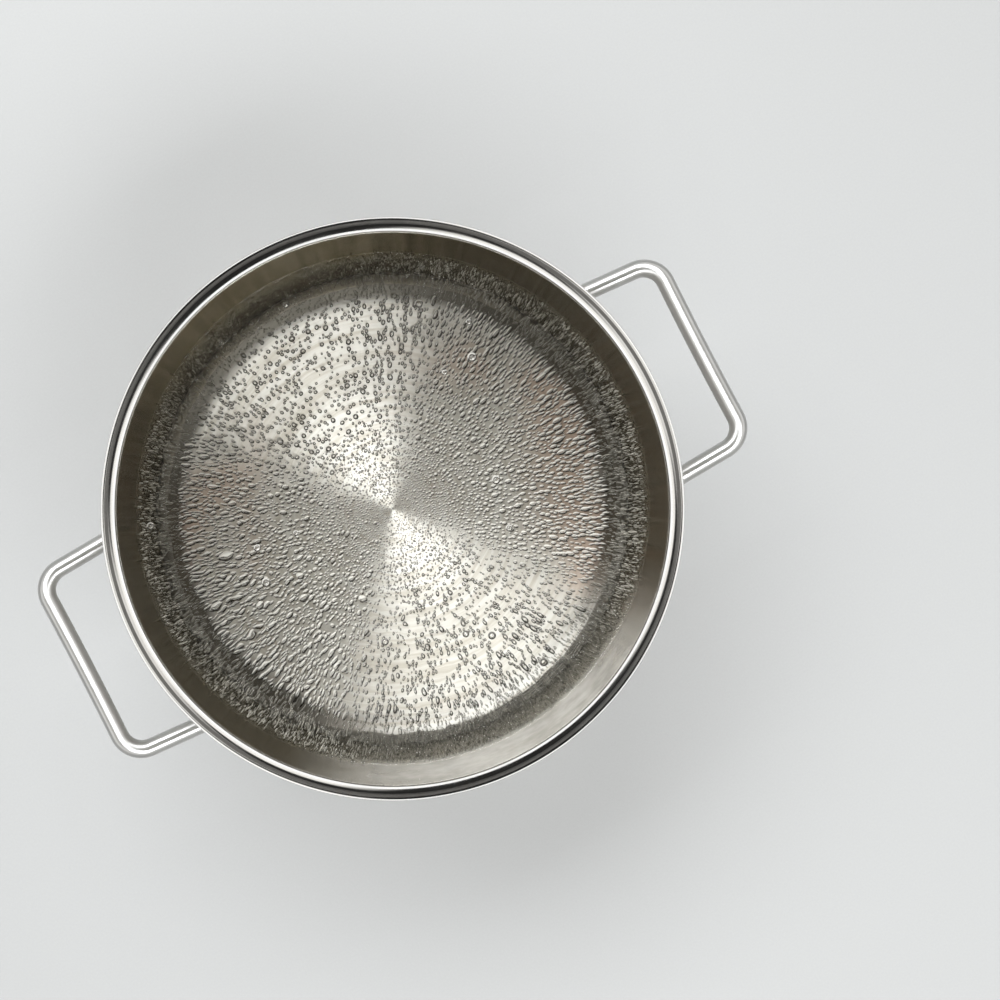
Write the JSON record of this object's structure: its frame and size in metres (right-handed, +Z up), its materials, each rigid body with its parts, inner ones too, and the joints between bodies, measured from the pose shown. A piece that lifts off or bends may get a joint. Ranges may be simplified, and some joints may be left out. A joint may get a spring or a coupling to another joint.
{
  "type": "cooking pot",
  "caption": "Open round steel cooking pot with a flared pouring rim, a capsule base with an aluminium heat spreader, and a bent rod handle on each side.",
  "frame": {"origin": "centre of the resting face, on the pot's axis", "axes": "+Z up along the pot's axis, +X towards the right handle, -X towards the left handle"},
  "size_m": [0.3168, 0.253, 0.1464],
  "materials": {
    "shell_steel": "polished rim, circular brushed floor, fine brushed wall",
    "handle_steel": "polished bar with light wear",
    "plate_steel": "satin, with spot-weld marks",
    "weld_steel": "rippled bead, lightly tinted by heat",
    "cap_steel": "spun rings, scuffed",
    "spreader_aluminium": "mill finish"
  },
  "bodies": {
    "root": {"pot_shell": "shell_steel", "heat_spreader_disc": "spreader_aluminium", "base_cap": "cap_steel", "handle_rod_right": "handle_steel", "handle_plate_right_front": "plate_steel", "weld_bead_right_front": "weld_steel", "handle_plate_right_rear": "plate_steel", "weld_bead_right_rear": "weld_steel", "handle_rod_left": "handle_steel", "handle_plate_left_front": "plate_steel", "weld_bead_left_front": "weld_steel", "handle_plate_left_rear": "plate_steel", "weld_bead_left_rear": "weld_steel"}
  },
  "joints": []
}
